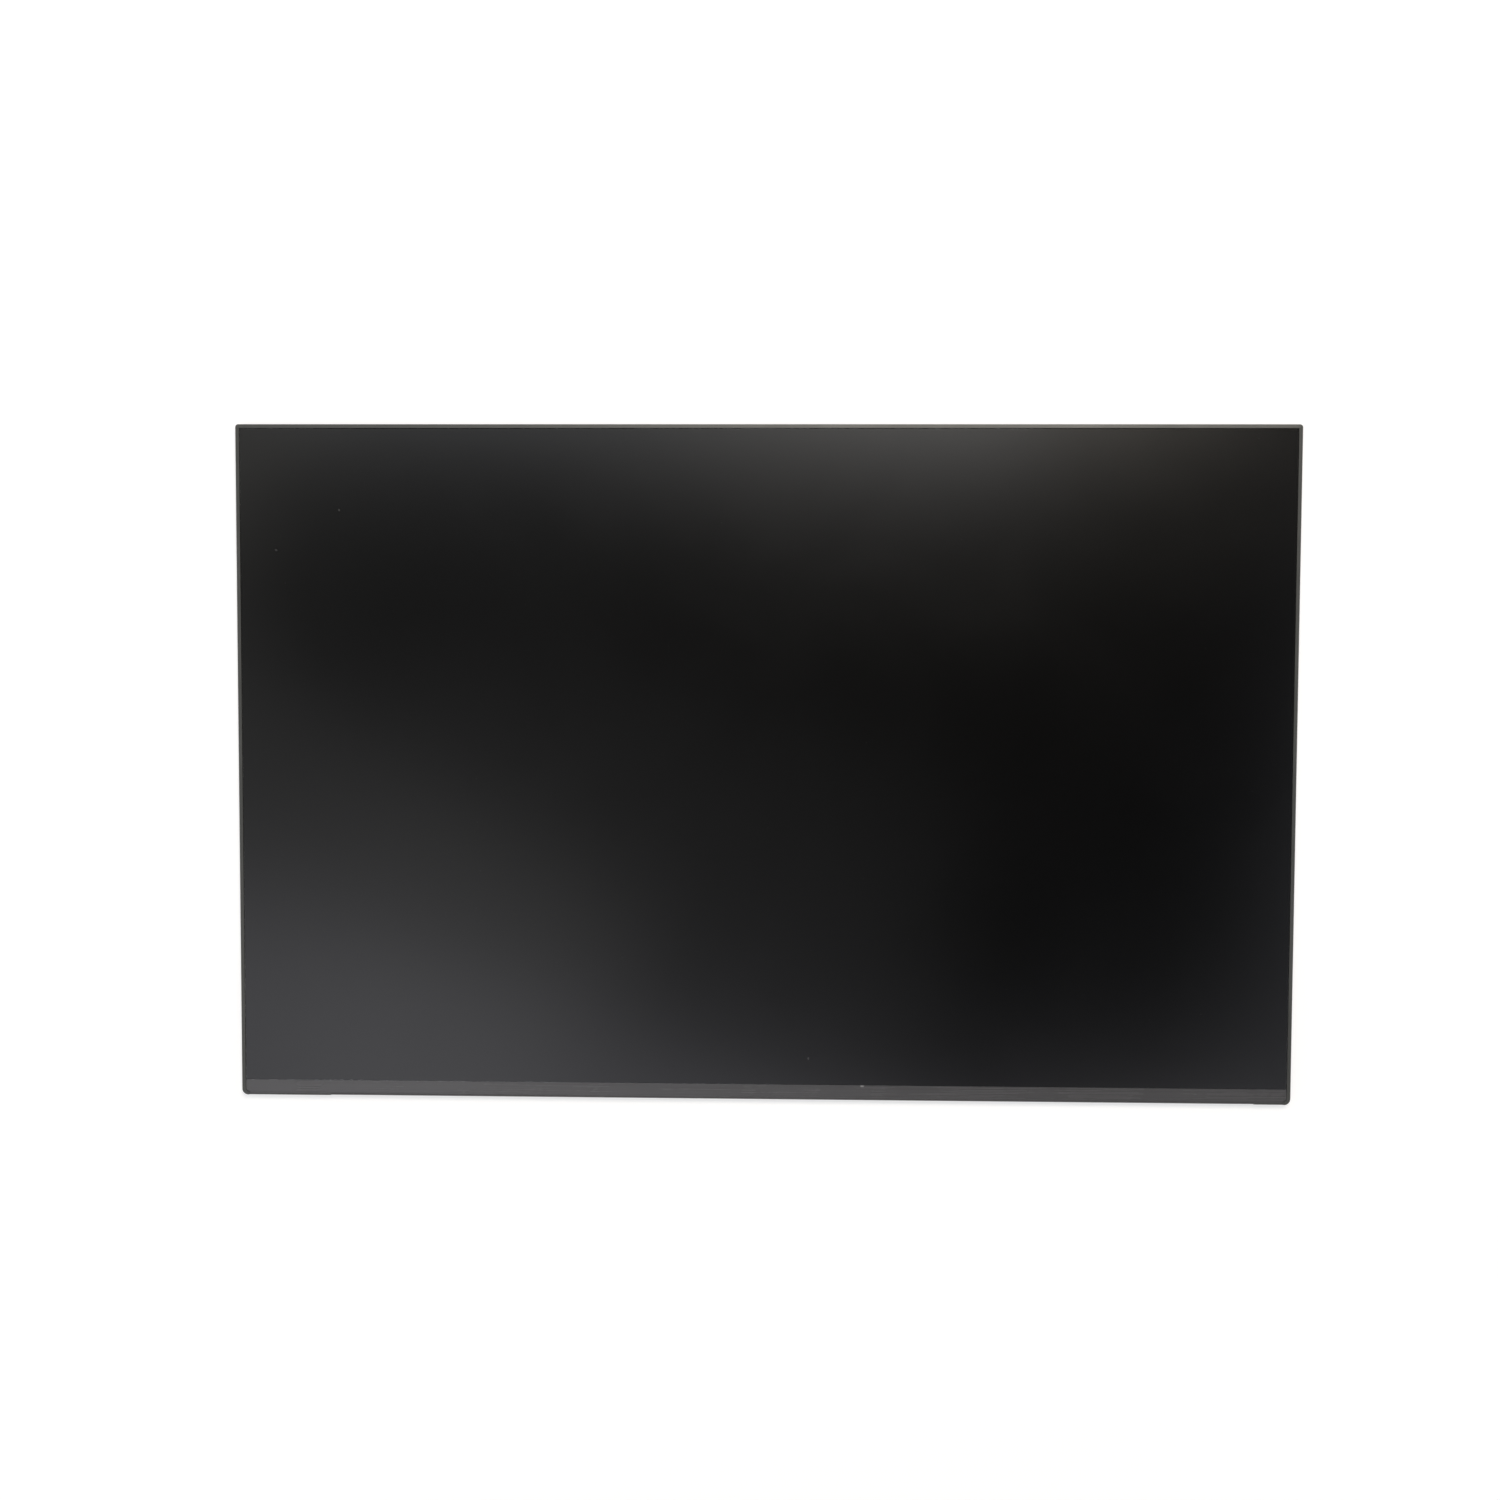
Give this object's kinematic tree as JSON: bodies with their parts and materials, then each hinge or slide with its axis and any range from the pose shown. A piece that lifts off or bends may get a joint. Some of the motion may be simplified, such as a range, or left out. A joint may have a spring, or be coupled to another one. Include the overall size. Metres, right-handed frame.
{
  "type": "laptop screen panel",
  "caption": "Thin flat screen panel for a laptop: matte dark face, narrow moulded rim, taped bottom strip, and a drive board behind the bottom edge.",
  "frame": {"origin": "centre of the outline, on the surface that the panel lies on", "axes": "+X to the right of the picture, +Y up the picture, +Z out of the screen"},
  "size_m": [0.306, 0.1958, 0.0035],
  "materials": {
    "polariser": "anti-glare hard coat on polarising film",
    "rear_polariser": "smooth polarising film",
    "panel_glass": "ground-edged display glass",
    "black_tape": "matte black polyester tape",
    "diffuser_film": "frosted film",
    "prism_film": "micro-ribbed film",
    "light_guide": "polished clear acrylic",
    "reflector_film": "bright white film",
    "lamp_body": "white package with phosphor window",
    "flex_circuit": "amber flexible film with copper tracks",
    "adhesive": "grey adhesive tape",
    "frame_plastic": "fine-textured black moulding",
    "cover_metal": "rolled sheet",
    "silicon": "polished silicon",
    "board_laminate": "green solder mask over copper tracks",
    "ground_foil": "crimped conductive foil",
    "connector_metal": "tinned sheet",
    "contact_metal": "gold-flashed",
    "connector_plastic": "ivory moulding",
    "chip_resin": "dark moulding resin",
    "ferrite": "pressed dark ferrite",
    "ceramic": "tan ceramic",
    "resistor_film": "black glaze on white ceramic",
    "tinned_end": "tinned"
  },
  "bodies": {
    "root": {"array_glass": "panel_glass", "back_cover": "cover_metal", "backlight_driver": "chip_resin", "board_tape": "adhesive", "bottom_tape": "black_tape", "capacitor_bodies": "ceramic", "capacitor_terminals": "tinned_end", "circuit_board": "board_laminate", "colour_filter_glass": "panel_glass", "connector_contacts": "contact_metal", "connector_insulator": "connector_plastic", "connector_shell": "connector_metal", "diodes": "chip_resin", "driver_chip_1": "silicon", "driver_chip_2": "silicon", "driver_chip_3": "silicon", "driver_chip_4": "silicon", "driver_film_1": "flex_circuit", "driver_film_2": "flex_circuit", "driver_film_3": "flex_circuit", "driver_film_4": "flex_circuit", "front_polariser": "polariser", "gamma_buffer": "chip_resin", "ground_foil_left": "ground_foil", "ground_foil_right": "ground_foil", "lamp_strip": "flex_circuit", "lamp_strip_tape": "adhesive", "lamps": "lamp_body", "level_shifter": "chip_resin", "light_guide_plate": "light_guide", "lower_diffuser": "diffuser_film", "lower_prism_sheet": "prism_film", "memory_chip": "chip_resin", "mould_frame": "frame_plastic", "power_inductors": "ferrite", "power_manager": "chip_resin", "rear_polariser": "rear_polariser", "reflector_sheet": "reflector_film", "resistor_bodies": "resistor_film", "resistor_terminals": "tinned_end", "rim_tape": "black_tape", "timing_controller": "chip_resin", "upper_diffuser": "diffuser_film", "upper_prism_sheet": "prism_film"}
  },
  "joints": []
}
